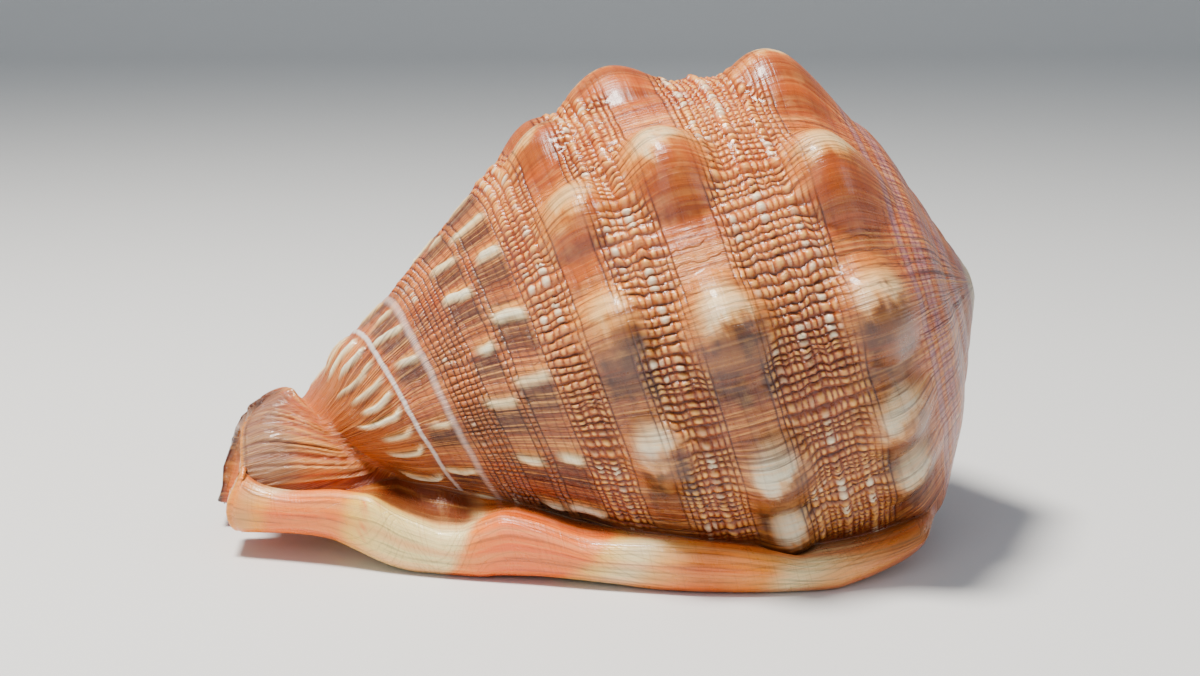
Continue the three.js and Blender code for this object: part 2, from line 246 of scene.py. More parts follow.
# spiral cords: first row, height, share of white beads, depth of the beading; each one
# ends where the next begins
cord_list = [(8, 0.1, 0, 0.1), (9.1, 0.12, 0, 0.2), (10.2, 0.1, 0, 0.1), (11.3, 0.13, 0, 0.2),
             (12.4, 0.1, 0, 0.1), (13.5, 0.14, 0.1, 0.2), (14.7, 0.12, 0, 0.1),
             (15.9, 0.16, 0.1, 0.2), (17.1, 0.13, 0, 0.2), (18.3, 0.2, 0.12, 0.3),
             (19.6, 0.15, 0, 0.2), (20.9, 0.18, 0.1, 0.3), (22.2, 0.1, 0, 0.1),
             (24.2, 0.06, 0, 0.05), (27, 0.04, 0, 0.03), (30.2, 0.05, 0, 0.03),
             (33, 0.08, 0, 0.1), (34.8, 0.16, 0, 0.5), (36, 0.26, 0.05, 0.8),
             (37.2, 0.3, 0.1, 0.9), (38.5, 0.8, 0.45, 1), (40.7, 0.3, 0.08, 0.95),
             (41.9, 0.3, 0.1, 0.95), (43.1, 0.36, 0.12, 1), (44.3, 1.05, 0.66, 1),
             (46.8, 0.4, 0.15, 1), (48, 0.34, 0.12, 0.95), (49.2, 0.42, 0.2, 0.95),
             (50.5, 0.8, 0.5, 1), (52.5, 0.26, 0.05, 0.85), (53.5, 0.14, 0, 0.5),
             (54.6, 0.08, 0, 0.1), (57.2, 0.04, 0, 0.03), (60.4, 0.04, 0, 0.03),
             (63, 0.08, 0, 0.1), (64.8, 0.2, 0, 0.6), (65.9, 0.28, 0.08, 0.9),
             (67.1, 0.36, 0.12, 1), (68.4, 1.05, 0.66, 1), (70.9, 0.36, 0.15, 1),
             (72.1, 0.42, 0.2, 1), (73.3, 0.8, 0.5, 1), (75.3, 0.24, 0.05, 0.85),
             (76.4, 0.14, 0, 0.4), (77.6, 0.05, 0, 0.05), (80.4, 0.04, 0, 0.03),
             (83, 0.08, 0, 0.1), (84.8, 0.2, 0, 0.7), (85.9, 0.28, 0.08, 0.9),
             (87.1, 0.8, 0.5, 1), (89.2, 0.36, 0.14, 1), (90.3, 0.7, 0.46, 1),
             (92.2, 0.24, 0.05, 0.85), (93.3, 0.12, 0, 0.3),
             (94.4, 0.08, 0, 0.1), (96, 0.07, 0, 0.1), (97.8, 0.09, 0, 0.1),
             (99.4, 0.2, 0.05, 0.7), (100.6, 0.18, 0.05, 0.7), (101.8, 0.08, 0, 0.1),
             (103.4, 0.07, 0, 0.1), (105, 0.09, 0, 0.1), (106.3, 0.2, 0.05, 0.8),
             (107.4, 0.18, 0.05, 0.8), (108.5, 0.2, 0.05, 0.8), (109.6, 0.18, 0.1, 0.8),
             (110.7, 0.3, 0.45, 0.9), (112.1, 0.16, 0.1, 0.7), (113.1, 0.1, 0, 0.2),
             (114.1, 0.3, 0.1, 0.1), (115.7, 0.07, 0, 0.1), (117.4, 0.06, 0, 0.05),
             (119.4, 0.08, 0, 0.1), (121.7, 0.4, 0.1, 0.1), (122.9, 0.04, 0, 0.03),
             (140, 0, 0, 0), (200, 0, 0, 0)]
cord_rows, cord_high, cord_pale, cord_deep = np.array(cord_list).T
wander = 0.3 * (grain(deg, 21, 14.0) - 0.5) + 0.25 * (grain2(deg, row, 22, 4.0, 5.0) - 0.5)
cord_at = np.interp(row + wander, cord_rows, np.arange(len(cord_rows)))
cord_i = np.clip(cord_at.astype(int), 0, len(cord_rows) - 2)
cord_dome = np.clip(1 - np.abs(2 * (cord_at - cord_i) - 1) ** 2.4, 0, 1)
knob_here = knob_height(row, angle)
plain_knob = 1 - 0.85 * ease(0.8, 3.0, knob_here)
weave = cord_deep[cord_i] * plain_knob

# ribs and beads: uneven steps of one to three degrees, each with its own height; the ribs
# run along the growth lines and cut the cords into beads
rib_count = 340
rng = np.random.default_rng(11)
bead_edges = np.cumsum(rng.choice([1.1, 1.5, 1.9, 2.4, 3.2], rib_count,
                                  p=[0.1, 0.22, 0.3, 0.26, 0.12])) - 250
meander = 1.3 * (grain2(deg, row, 24, 6.0, 2.6) - 0.5)
meander = meander + 0.7 * (grain2(deg, row, 25, 3.0, 1.2) - 0.5)
bead_at = np.interp(grow + meander, bead_edges, np.arange(rib_count))
bead_i = bead_at.astype(int)
bead_dome = np.clip(1 - np.abs(2 * (bead_at - bead_i) - 1) ** 2.0, 0, 1)
bead_size = np.random.default_rng(12).random((rib_count + 1, len(cord_rows)))[bead_i, cord_i]
rib_size = np.random.default_rng(13).random(rib_count + 1)[bead_i]
beaded = 1 - weave + weave * (0.2 + 0.8 * bead_dome) * (0.65 + 0.3 * rib_size + 0.3 * bead_size)
cord_relief = cord_high[cord_i] * cord_dome * beaded * plain_knob
rib_relief = 0.55 * weave * (bead_dome - 0.6) * (0.5 + 0.8 * rib_size)

# white axial bars: first row, last row, half width in degrees, lean, degrees of each; the
# last row of bars bends in one curve instead of leaning
bar_rows = [(93.4, 100.4, 2.6, 3.2, [-120, -98, -73, -53, -31, -14, 8, 30, 52, 76, 100]),
            (101.2, 107, 2.6, 2.6, [-120, -99, -77, -58, -36, -19, 2, 24, 46, 70, 95]),
            (115.2, 121.4, 2.7, 1.2, [-128, -108, -80, -45, -25, -9, 12, 36, 60, 85, 110]),
            (123.4, 132.6, 2.9, 0,
             [-118, -96, -83, -71, -60, -49, -37, -23, -10, 6, 22, 40, 60, 82, 106])]
bar_white = np.zeros(row.shape)
bar_panel = np.zeros(row.shape)
for first, last, half_wide, lean, places in bar_rows:
    middle = (first + last) / 2
    curve = 0.17 * (row - middle) ** 2 * (1.0 if first > 122 else 0.1)
    for count, at_deg in enumerate(places):
        short = 1.6 * math.sin(count * 2.3 + first)
        slope = lean * (1 - 0.9 * ease(-35, -85, at_deg)) if lean else -1.5
        centre = at_deg + slope * (row - middle) / 4 + curve
        centre = centre + 1.8 * (grain(row, 26 + count, 2.2) - 0.5)
        d = np.clip(1 - ((deg - centre) / half_wide) ** 2, 0, 1)
        ends = ease(first - 0.6, first + 1.6, row)
        ends = ends * (1 - ease(last - 2.2 - short, last + 0.4 - short, row))
        bar_white = np.maximum(bar_white, d ** 1.3 * ends * (0.8 + 0.2 * math.cos(count * 1.7)))
        below = ease(-14, -8, deg - centre) * (1 - ease(-2.2, -0.6, deg - centre))
        between = ease(first - 0.4, first + 0.8, row) * (1 - ease(last - 0.8, last + 0.4, row))
        bar_panel = np.maximum(bar_panel, below * between * (first < 122))

# fine growth lines; "sink" keeps the tops of the relief within the solid's box
growth_fine = 0.10 * (grain(grow + meander, 31, 0.8) - 0.5) + 0.16 * (grain(grow, 32, 2.3) - 0.5)
growth_fine = growth_fine * (0.45 + 0.55 * ease(20, 30, row))
from_groove = station_col - line_through(deg, band_groove)
band_here = ease(-0.2, 1.0, from_groove)
front_bars = np.where(row < 122, 1.1, 1.25) * bar_white
sink = 0.36
relief = (cord_relief + rib_relief + front_bars) * (1 - band_here) + growth_fine - sink

# wrinkles of the twisted band: along it, bending down beside its border
wrinkle_at = 0.25 * deg + 7.5 * np.exp(-np.clip(from_groove, 0, None) / 7.5)
wrinkle_at = wrinkle_at + 0.5 * (grain2(station_col, deg, 61, 5.0, 16.0) - 0.5)
wrinkle = 0.62 * grain(wrinkle_at, 62, 0.62) + 0.38 * grain(wrinkle_at, 63, 1.9)
wrinkle_strong = 1 - 0.6 * ease(8, 17, from_groove)
relief = relief + band_here * 1.1 * wrinkle_strong * (wrinkle - 0.5)
to_join = np.minimum(np.arange(angle.shape[1]), 9)[None] / 9.0
relief = relief * ease(2.2, 6, station_col) * to_join
radius = radius + relief
body_y, body_u = radius * np.sin(angle), radius * np.cos(angle)

# shield and lip: (station, across) of their edges, (station, height) of the shield's top
# and of the underside, and (station, depth) of the trough behind the shield
shield_edge = [(20, -27), (24, -31.5), (30, -37.5), (36, -42), (42, -45.5), (50, -48), (60, -48.5),
               (70, -47.5), (80, -45), (90, -42), (100, -38.5), (110, -35.5), (116, -33.5),
               (125, -29.8), (135, -24.8), (145, -20.8), (156, -17)]
shield_top = [(20, 9.5), (26.5, 7.2), (33.5, 6.5), (43, 6.3), (50.5, 6.2), (56, 7.4), (65, 8.9),
              (77, 9.5), (87.5, 9.3), (97, 11.8), (102.5, 12.6), (105, 11.8), (108.5, 10.4),
              (111, 9.4), (114.5, 9.2), (118, 10.1), (122, 11.6), (127, 14.4), (131.5, 14.5),
              (143, 13.4), (149, 13.8), (156, 15.6)]
shield_trough = [(100, 0), (108, 2.2), (118, 2.6), (126, 1.5), (132, 0)]
underside_low = [(18, 7.4), (24, 5.4), (30, 3), (36, 1.7), (42, 0.7), (46.5, 0), (77, 0), (86, 0.6),
                 (97, 1), (105, 0.7), (110.5, 0), (121.5, 0), (125, 0.6), (128, 1.5), (132, 3.1),
                 (136.5, 4.6), (141, 4.9), (153, 4.2), (156, 4)]
lip_edge = [(18, 30), (22, 39), (27, 46), (34, 52.5), (42, 57.5), (50, 60.3), (60, 61.5),
            (70, 60.5), (80, 57.6), (90, 53), (100, 47), (110, 39.6), (120, 31.8), (130, 24.6),
            (140, 19), (156, 15)]
# mouth: (station, across) of the slit's middle, its half width, and the hollow's height
slit_middle = [(20, 13), (40, 10.5), (60, 8.8), (80, 6.8), (100, 4.2), (120, 1.6), (140, 0),
               (156, 0)]
slit_half = [(22, 0.8), (28, 2), (36, 4.4), (48, 5.4), (70, 5.6), (90, 5.2), (110, 4.5),
             (125, 4.1), (140, 4), (156, 4.4)]
hollow_height = [(22, 1.2), (27, 4), (34, 14), (45, 25), (60, 32), (78, 33), (92, 28),
                 (105, 22), (118, 17.5), (130, 15), (140, 14.5), (156, 16)]
# (station, height) of the lowest line on the closed spire
lowest_on_spire = [(0, -20), (8, 4), (12, 8.5), (16, 9), (20, 7), (24, 4.6), (27, 2.5)]

# underside control points from the lip wall round to the shield wall, as (across, height);
# "under_t" counts them along the path, with a few steps of the mesh between two of them
lip, shield = line_through(stations, lip_edge), line_through(stations, shield_edge)
low, top = line_through(stations, underside_low), line_through(stations, shield_top)
mid, half = line_through(stations, slit_middle), line_through(stations, slit_half)
deep = line_through(stations, hollow_height)
deepest = 33
wide = deep / deepest
lip_y, lip_z = body_y[:, -1], height_of(stations, body_u[:, -1])
root_y, root_z = body_y[:, 0], height_of(stations, body_u[:, 0])
tooth_on = ease(30, 38, stations) * (1 - ease(118, 128, stations))
tooth = np.cos(np.pi * (stations + 0.6 * np.sin(stations * 0.9)) / 4.7) ** 2
tooth = tooth ** 0.8 * tooth_on
fold = np.cos(np.pi * (stations + 0.5 * np.sin(stations * 0.7)) / 3.6) ** 2 * tooth_on
lip_wall = mid + half - 1.5 * tooth
fold_wall = mid - half + 0.9 * fold
swell = low + 4.6
# 0 lip wall, 2-5 lip's rim, 8 toothed edge, 9-13 hollow, 14 folded edge, 17-22 shield's rim,
# 24 the shield's root on the whorl
controls = [
    (lip_y, lip_z), (0.45 * lip_y + 0.55 * (lip - 1), np.minimum(lip_z - 1.2, swell + 3.6)),
    (lip, swell + 0.6), (lip - 0.2, low + 2), (lip - 3, low), (0.9 * lip - 3, low),
    (0.62 * lip + 0.38 * (mid + half), low + 0.9),
    (lip_wall + 3.4, low + 0.9 - 0.5 * tooth), (lip_wall, low + 2 - 0.5 * tooth),
    (mid + half + wide, low + 0.33 * deep), (mid + half + 9 * wide, low + 0.72 * deep),
    (mid + 5 * wide, low + deep), (mid - half - 3 * wide, low + 0.78 * deep),
    (mid - half - wide, low + 0.36 * deep), (fold_wall, low + 1.9 - 0.3 * fold),
    (fold_wall - 2.8, low + 0.9 - 0.4 * fold), (0.5 * (mid - half) + 0.5 * (shield + 9), low + 1),
    (shield + 9, low), (shield + 3, low), (shield + 0.3, low + 1.7),
    (shield, 0.45 * low + 0.55 * top), (shield + 1.2, top - 0.9), (shield + 4, top),
    (0.4 * (shield + 4) + 0.6 * root_y,
     0.35 * top + 0.65 * root_z + 0.2 - line_through(stations, shield_trough)), (root_y, root_z)]
control = np.stack([np.stack(p, -1) for p in controls], 1)
per_step = [3, 3, 2, 3, 2, 4, 4, 3, 2, 2, 2, 2, 2, 2, 3, 4, 3, 2, 3, 3, 3, 3, 4, 4]
under_t = np.concatenate([i + np.arange(n) / n for i, n in enumerate(per_step)])[1:]
round_under = under_t[None]


def rounded_path(points, t):
    """Smooth line through control points: cubic between neighbours, with half the chord of
    the two neighbours as slope, never longer than 1.3 times the step itself."""
    last = points.shape[1] - 1

    def pick(j):
        """Point j of every section, or its end point where j is past the end."""
        return points[:, np.clip(j, 0, last)]

    i = np.clip(np.floor(t).astype(int), 0, last - 1)
    f = (t - i)[None, :, None]
    p1, p2 = pick(i), pick(i + 1)
    step = np.linalg.norm(p2 - p1, axis=-1, keepdims=True)
    m1, m2 = (p2 - pick(i - 1)) / 2, (pick(i + 2) - p1) / 2
    long_1 = np.maximum(np.linalg.norm(m1, axis=-1, keepdims=True), 1e-9)
    long_2 = np.maximum(np.linalg.norm(m2, axis=-1, keepdims=True), 1e-9)
    m1 = m1 * np.minimum(1, 1.3 * step / long_1)
    m2 = m2 * np.minimum(1, 1.3 * step / long_2)
    return ((2 * f ** 3 - 3 * f ** 2 + 1) * p1 + (f ** 3 - 2 * f ** 2 + f) * m1
            + (3 * f ** 2 - 2 * f ** 3) * p2 + (f ** 3 - f ** 2) * m2)


under = rounded_path(control, under_t)
steps = len(controls) - 1
under_angle = to_angle[:, None] + (from_angle + full_turn - to_angle)[:, None] * under_t / steps
under_angle = np.where(under_angle > math.pi, under_angle - full_turn, under_angle)
spire_r = outer_radius(station_col, under_angle)
spire_u = spire_r * np.cos(under_angle)
floor_u = up_of(station_col, line_through(station_col, lowest_on_spire))
spire_u = np.where(station_col > 6, np.maximum(spire_u, floor_u), spire_u)
opened = mouth_open[:, None]
under_y = under[..., 0] * opened + spire_r * np.sin(under_angle) * (1 - opened)
under_u = up_of(station_col, under[..., 1]) * opened + spire_u * (1 - opened)

across = np.concatenate([body_y, under_y], 1)
up = np.concatenate([body_u, under_u], 1)
n_rows, n_cols = across.shape

# the front sections lean back towards the top, so the canal opens forward and up; its far
# wall reaches further and has a scalloped edge
near_end = [(-8, 154.6), (-5, 155), (-1.5, 154), (1, 152), (3, 150.6), (9.7, 149), (12, 146.6),
            (13.5, 142.5), (15, 140)]
far_end = [(-8, 159.3), (-5.5, 159.3), (-2, 157.6), (1.2, 156.4), (4.2, 154), (8.4, 151),
           (11.9, 147.5), (13.3, 145), (14.5, 141), (16, 140)]
bend = np.clip((stations - 126) / (front_station - 126), 0, 1)[:, None] ** 1.5
far_wall = ease(-2.5, 4, across)
end = line_through(up, near_end) * (1 - far_wall) + line_through(up, far_end) * far_wall
end = end + 0.45 * far_wall * np.sin(up * 2.9) * ease(-10, -6, up)
real_station = station_col + (end - front_station) * bend
grid = place(real_station, across, up)

# rounded front edge: three more rings that draw in and forward, then a flat face
edge_round = 0.9
ring = np.stack([across[-1], up[-1]], -1)
ahead = np.roll(ring, -1, 0) - np.roll(ring, 1, 0)
inward = np.stack([-ahead[:, 1], ahead[:, 0]], -1)
inward = inward / np.maximum(np.linalg.norm(inward, axis=1, keepdims=True), 1e-9)
area = 0.5 * np.sum(ring[:, 0] * np.roll(ring[:, 1], -1) - np.roll(ring[:, 0], -1) * ring[:, 1])
inward = inward * np.sign(area)
extra = []
for turn in (30, 60, 90):
    moved = ring + inward * edge_round * (1 - math.cos(math.radians(turn)))
    forward = real_station[-1] - edge_round + edge_round * math.sin(math.radians(turn))
    extra.append(place(forward, moved[:, 0], moved[:, 1]))
grid[-1] = place(real_station[-1] - edge_round, across[-1], up[-1])
before_edge = np.minimum(real_station[-2], real_station[-1] - edge_round - 0.5)
grid[-2] = place(before_edge, across[-2], up[-2])

# points of all rings and the tip, none of them under the floor, and the faces: squares
# between the rings, a fan at the tip and flat triangles over the front
tip_station = 0.9
tip_point = place(np.array([tip_station]), 0.0, 0.0)
points = np.concatenate([grid.reshape(-1, 3)] + extra + [tip_point])
points[:, 2] = np.maximum(points[:, 2], 0)
tip_index = len(points) - 1
all_rows = n_rows + 3
number = np.arange(all_rows * n_cols).reshape(all_rows, n_cols)
next_one = np.roll(number, -1, 1)
quads = np.stack([number[:-1], next_one[:-1], next_one[1:], number[1:]], -1).reshape(-1, 4)
cap = np.stack([next_one[0], number[0], np.full(n_cols, tip_index)], -1)
last_ring = number[-1]
outline = [Vector((float(a), float(b), 0)) for a, b in moved]
front = np.array([[last_ring[k] for k in t] for t in tessellate_polygon([outline])])
corner = moved[front - last_ring[0]]
side_1, side_2 = corner[:, 1] - corner[:, 0], corner[:, 2] - corner[:, 0]
turned = (side_1[:, 0] * side_2[:, 1] - side_1[:, 1] * side_2[:, 0]) * np.sign(area) < 0
front[turned] = front[turned][:, ::-1]


def shade(red, green, blue):
    """Paint colour from 0-255 values: straight light values, drawn away from their own
    grey by two fifths, because a polished shell looks deeper than its powder."""
    light = np.array([((v / 255 + 0.055) / 1.055) ** 2.4 for v in (red, green, blue)])
    grey = light @ np.array([0.2126, 0.7152, 0.0722])
    strength = 1.42
    return np.clip(grey + strength * (light - grey), 0.004, 0.95)


def mix(under_colour, over_colour, amount):
    """Straight blend of two colours by an amount, which is one number or a field."""
    amount = np.asarray(amount)[..., None]
    return under_colour * (1 - amount) + over_colour * amount


def plain(paint, field):
    """One colour laid over the whole of a field."""
    return np.broadcast_to(paint, field.shape + (3,))


def growth_streaks(wavy_growth, growth):
    """Streaks along the growth lines: six tenths of a broad random line of the growth angle
    and four tenths of a fine one."""
    return grain(wavy_growth, 42, 1.5) * 0.6 + grain(growth, 43, 0.7) * 0.4


def spiral_lines(at_row, at_deg):
    """Lines along the spiral: a random line of the row, which wanders with the angle."""
    return ease(0.45, 0.8, grain(at_row + 0.4 * grain(at_deg, 52, 11.0), 51, 0.7))


# colours: every one is a formula of row, angle and station; the whorl starts as salmon
# with paler clouds, and brown and tan streaks where there are no beads
salmon, pale_salmon = shade(168, 86, 62), shade(206, 130, 94)
brown, dark_brown = shade(160, 86, 28), shade(74, 36, 22)
tan, cream, white = shade(216, 150, 98), shade(242, 208, 156), shade(250, 236, 212)
lilac, rose = shade(150, 122, 140), shade(184, 108, 84)
colour = plain(salmon, row)
tone = grain2(grow, row, 41, 9.0, 26.0)
colour = mix(colour, pale_salmon, 0.8 * ease(0.45, 0.8, tone))
streak = growth_streaks(grow + meander, grow)
smooth_band = 1 - weave
colour = mix(colour, brown, 0.5 * smooth_band * ease(0.5, 0.8, streak))
colour = mix(colour, tan, 0.5 * smooth_band * ease(0.5, 0.2, streak))

# each knob is brown on its older side and pale on its top and younger side
ragged = 5.0 * (grain2(deg, row, 44, 6.0, 3.0) - 0.5)
ragged = ragged + 3.0 * (grain2(deg, row, 45, 2.0, 1.0) - 0.5)
ragged = ragged + 1.6 * (grain2(deg, row, 48, 0.9, 0.6) - 0.5)
brown_zone = np.zeros(row.shape)
tan_zone = np.zeros(row.shape)
cream_zone = np.zeros(row.shape)
for at_row, at_deg, tall, wide, long, pale in knob_list:
    across_knob = (row - at_row) / wide
    round_knob = deg - at_deg + ragged
    in_row = 1 - ease(0.45, 0.85, np.abs(across_knob))
    older = ease(-21, -13, round_knob) * (1 - ease(-2.5, 1.5, round_knob + 3 * across_knob))
    brown_zone = np.maximum(brown_zone, older * in_row)
    cap_shape = np.exp(-(across_knob / 0.62) ** 2 - ((deg - at_deg - 2.5) / 9) ** 2)
    younger = ease(-1.5, 3.5, round_knob + 3 * across_knob)
    tan_zone = np.maximum(tan_zone, cap_shape ** 0.7)
    cap_here = pale * ease(0.3, 0.85, cap_shape + 0.04 * ragged) * younger
    cream_zone = np.maximum(cream_zone, cap_here * (1 - 0.45 * ease(3, 10, round_knob)))
colour = mix(colour, tan, 0.9 * tan_zone)
# the brown patches turn dark grey-brown towards the bottom: partly their own colour, partly painted
# shade
patch = mix(plain(brown, row), shade(62, 40, 32), ease(-52, -72, deg))
patch_tone = 0.72 + 0.24 * ease(0.3, 0.7, grain2(deg, row, 65, 4.0, 3.0))
colour = mix(colour, patch, patch_tone * brown_zone)
colour = mix(colour, dark_brown, 0.4 * brown_zone * ease(0.4, 0.75, grain(grow, 46, 2.2)))
cap_mottle = ease(0.25, 0.75, grain2(deg, row, 49, 2.4, 2.0))
colour = mix(colour, cream, 0.92 * cream_zone * (0.7 + 0.3 * cap_mottle))
colour = mix(colour, white, 0.5 * cream_zone ** 2)
# painted reflection: a cool grey-white laid over the caps of the lower knobs
colour = mix(colour, shade(206, 214, 208), 0.5 * cream_zone * ease(-60, -100, deg))

# small dark pits on three of the front knobs, at (row, degrees)
for at_row, at_deg in ((60.5, -33), (29.5, -40), (28, -73)):
    pit = np.exp(-((row - at_row) / 1.1) ** 2 - ((deg - at_deg) / 1.2) ** 2)
    colour = mix(colour, shade(70, 58, 46), 0.9 * pit * (grain2(deg, row, 50, 0.5, 0.45) > 0.62))

# panels between the bars in front are greyish brown, darkest just under each bar
panel = ease(92.5, 94.5, row) * (1 - ease(119, 122, row))
panel = panel * ease(0.3, 0.7, grain2(deg, row, 47, 11.0, 7.0))
colour = mix(colour, shade(136, 86, 66), 0.65 * panel)
# painted shade: the plain whorl turns greyer and darker on its lower side, away from the knob caps and
# patches
painted_shade_low_side = ease(-50, -85, deg) * (1 - np.clip(2 * cream_zone + brown_zone, 0, 1))
colour = mix(colour, shade(118, 82, 68), 0.45 * painted_shade_low_side)
colour = mix(colour, shade(68, 48, 42), 0.85 * bar_panel)
colour = mix(colour, shade(176, 106, 66), 0.75 * ease(122, 126, row))

# each bar has a brown painted shadow below it, a warm painted highlight above it and a whiter middle
in_front = row > 92
painted_shadow_below_bar = np.clip(np.roll(bar_white, -3, 1) - bar_white, 0, 1) * in_front
painted_highlight_above_bar = np.clip(np.roll(bar_white, 4, 1) - bar_white, 0, 1) * in_front
colour = mix(colour, shade(126, 70, 46), 0.45 * painted_shadow_below_bar)
colour = mix(colour, shade(240, 178, 122), 0.6 * painted_highlight_above_bar)
colour = mix(colour, shade(255, 228, 190), np.clip(1.4 * bar_white, 0, 1))
colour = mix(colour, shade(255, 244, 222), 0.8 * ease(0.5, 0.9, bar_white))

# the coiled top is rosier, with lilac-grey lines along the spiral
top_zone = 1 - ease(20, 26, row)
colour = mix(colour, rose, 0.75 * top_zone)
colour = mix(colour, lilac, 0.6 * top_zone * spiral_lines(row, deg))
tip_white = 1 - ease(2.0, 4.2, station_col)
colour = mix(colour, white, 0.85 * tip_white)

# twisted band: orange tan with paler wrinkles, silky grey towards its front, and deep
# red-brown painted shade underneath where it dives behind the shield
pale_wrinkle = ease(0.4, 0.75, wrinkle) * (0.45 + 0.55 * ease(20, -60, deg))
band_colour = mix(plain(shade(168, 88, 44), row), shade(226, 168, 118), pale_wrinkle)
silky_at = from_groove + 0.06 * (deg + 60) + 4 * (grain2(deg, station_col, 64, 9.0, 4.0) - 0.5)
silky = ease(5, 13, silky_at) * (1 - ease(-25, 5, deg))
band_colour = mix(band_colour, shade(130, 110, 98), 0.75 * silky)
painted_shade_dive = ease(-84, -106, deg) * (1 - ease(124, 134, station_col))
band_colour = mix(band_colour, shade(104, 36, 20), painted_shade_dive)
colour = mix(colour, band_colour, band_here)
far_end_zone = ease(148, 153, station_col) * ease(-30, 0, deg)
colour = mix(colour, shade(70, 36, 24), 0.9 * far_end_zone)
border = np.exp(-((from_groove + 1.2) / 2.2) ** 2)
colour = mix(colour, shade(206, 116, 58), 0.7 * border)

# shield, lip and their rims: bands of orange and cream, (station, red, green, blue) along
# the near edge; "seen" is the station with ragged borders that slant over the rim
rim_table = [(20, 200, 132, 98), (34, 214, 140, 96), (44, 226, 168, 124), (52, 246, 220, 180),
             (58, 220, 146, 88), (70, 212, 128, 68), (77, 236, 178, 126), (82, 248, 224, 184),
             (88, 244, 196, 136), (91, 224, 130, 20), (102, 222, 122, 10), (111, 226, 138, 36),
             (114, 255, 226, 180), (124, 255, 222, 170), (131, 248, 196, 132), (135, 224, 136, 34),
             (145, 222, 126, 22), (149, 226, 158, 96), (152, 208, 156, 112), (156, 214, 132, 70)]
seen = station_col + 5 * (grain2(round_under, station_col, 71, 3.0, 8.0) - 0.5)
seen = seen + 2.6 * (np.clip(round_under, 17, 22.5) - 20)
rim = np.stack([line_through(seen, [(p[0], shade(*p[1:])[k]) for p in rim_table])
                for k in range(3)], -1)
lengthwise = grain(round_under * 3.1 + 0.7 * grain(station_col, 73, 16.0), 72, 0.45)
rim = mix(rim, shade(206, 92, 36), 0.45 * ease(0.45, 0.8, lengthwise))
pale_streak = ease(0.55, 0.85, grain(round_under * 3.1, 74, 0.6))
rim = mix(rim, shade(255, 240, 208), 0.14 * pale_streak)
crack_line = 129 + 1.6 * (grain(round_under * 2.0, 75, 0.7) - 0.5)
crack = np.exp(-((seen - crack_line) / 0.35) ** 2)
crack = crack * ease(18.5, 19.5, round_under) * (1 - ease(21, 21.8, round_under))
rim = mix(rim, shade(214, 112, 48), 0.8 * crack)

# the mouth: white teeth and folds with orange between them, darker inside
toothed_edge, folded_edge = 8, 14
tooth_line = np.exp(-((round_under - toothed_edge) / 1.1) ** 2)
fold_line = np.exp(-((round_under - folded_edge) / 1.1) ** 2)
orange_mouth = shade(212, 104, 54)
under_colour = mix(rim, orange_mouth, np.clip(tooth_line + fold_line, 0, 0.8))
on_teeth = np.clip(tooth_line * tooth[:, None] + fold_line * fold[:, None], 0, 1)
under_colour = mix(under_colour, white, 0.9 * on_teeth)
inside = ease(8.5, 10, round_under) * (1 - ease(12.3, 13.8, round_under))
under_colour = mix(under_colour, shade(176, 120, 86), inside)

# the far edge of the canal is dark brown, and the shield's front end has a pale painted highlight
canal_edge = ease(145, 150, seen) * (1 - ease(12.6, 14.0, round_under))
under_colour = mix(under_colour, shade(66, 36, 24), 0.94 * canal_edge)
painted_highlight_spot = np.exp(-((seen - 148.6) / 2.2) ** 2 - ((round_under - 21.9) / 0.6) ** 2)
under_colour = mix(under_colour, shade(255, 238, 208), 0.75 * painted_highlight_spot)

# painted shade: a dark red-brown line in the crease and a dark hollow where the shield meets the whorl
painted_shade_crease = ease(22.3, 23.7, round_under)
under_colour = mix(under_colour, shade(150, 88, 54), 0.8 * painted_shade_crease)
painted_shade_trough = ease(106, 110, station_col) * (1 - ease(124, 130, station_col))
painted_shade_trough = painted_shade_trough * ease(21.9, 22.6, round_under)
under_colour = mix(under_colour, shade(88, 42, 26), 0.95 * painted_shade_trough)

# the closed underside of the spire is painted like the spire's top
under_row = row_of(station_col + 0 * under_angle, under_angle)
under_grow = np.degrees(under_angle) - line_through(under_row, growth_slant)
under_streak = growth_streaks(under_grow, under_grow)
under_spire = mix(plain(salmon, under_row), brown, 0.5 * ease(0.5, 0.8, under_streak))
under_spire = mix(under_spire, tan, 0.5 * ease(0.5, 0.2, under_streak))
under_spire = mix(under_spire, rose, 0.75)
under_spire = mix(under_spire, lilac, 0.6 * spiral_lines(under_row, np.degrees(under_angle)))
under_spire = mix(under_spire, white, 0.85 * tip_white)
under_colour = mix(under_spire, under_colour, opened)

# the rounded front edge: orange on the shield's side, dark brown on the far side
ring_colour = np.concatenate([colour, under_colour], 1)
far_edge = np.concatenate([ease(-40, -8, deg[-1]), 1 - ease(10, 13, under_t)])
edge_colour = mix(plain(shade(210, 146, 96), far_edge), shade(60, 30, 20), far_edge)
vertex_colour = np.concatenate([ring_colour.reshape(-1, 3)] + [edge_colour] * 3 + [white[None]])
vertex_colour = np.clip(vertex_colour, 0, 1)


def spread(field_body, field_under):
    """Joins a field on the back with one on the underside, and repeats its last ring for
    the front edge and the tip."""
    whole = np.concatenate([field_body + 0 * row, field_under + 0 * under_y], 1)
    return np.concatenate([whole.ravel()] + [whole[-1]] * 3 + [[whole[0, 0]]])


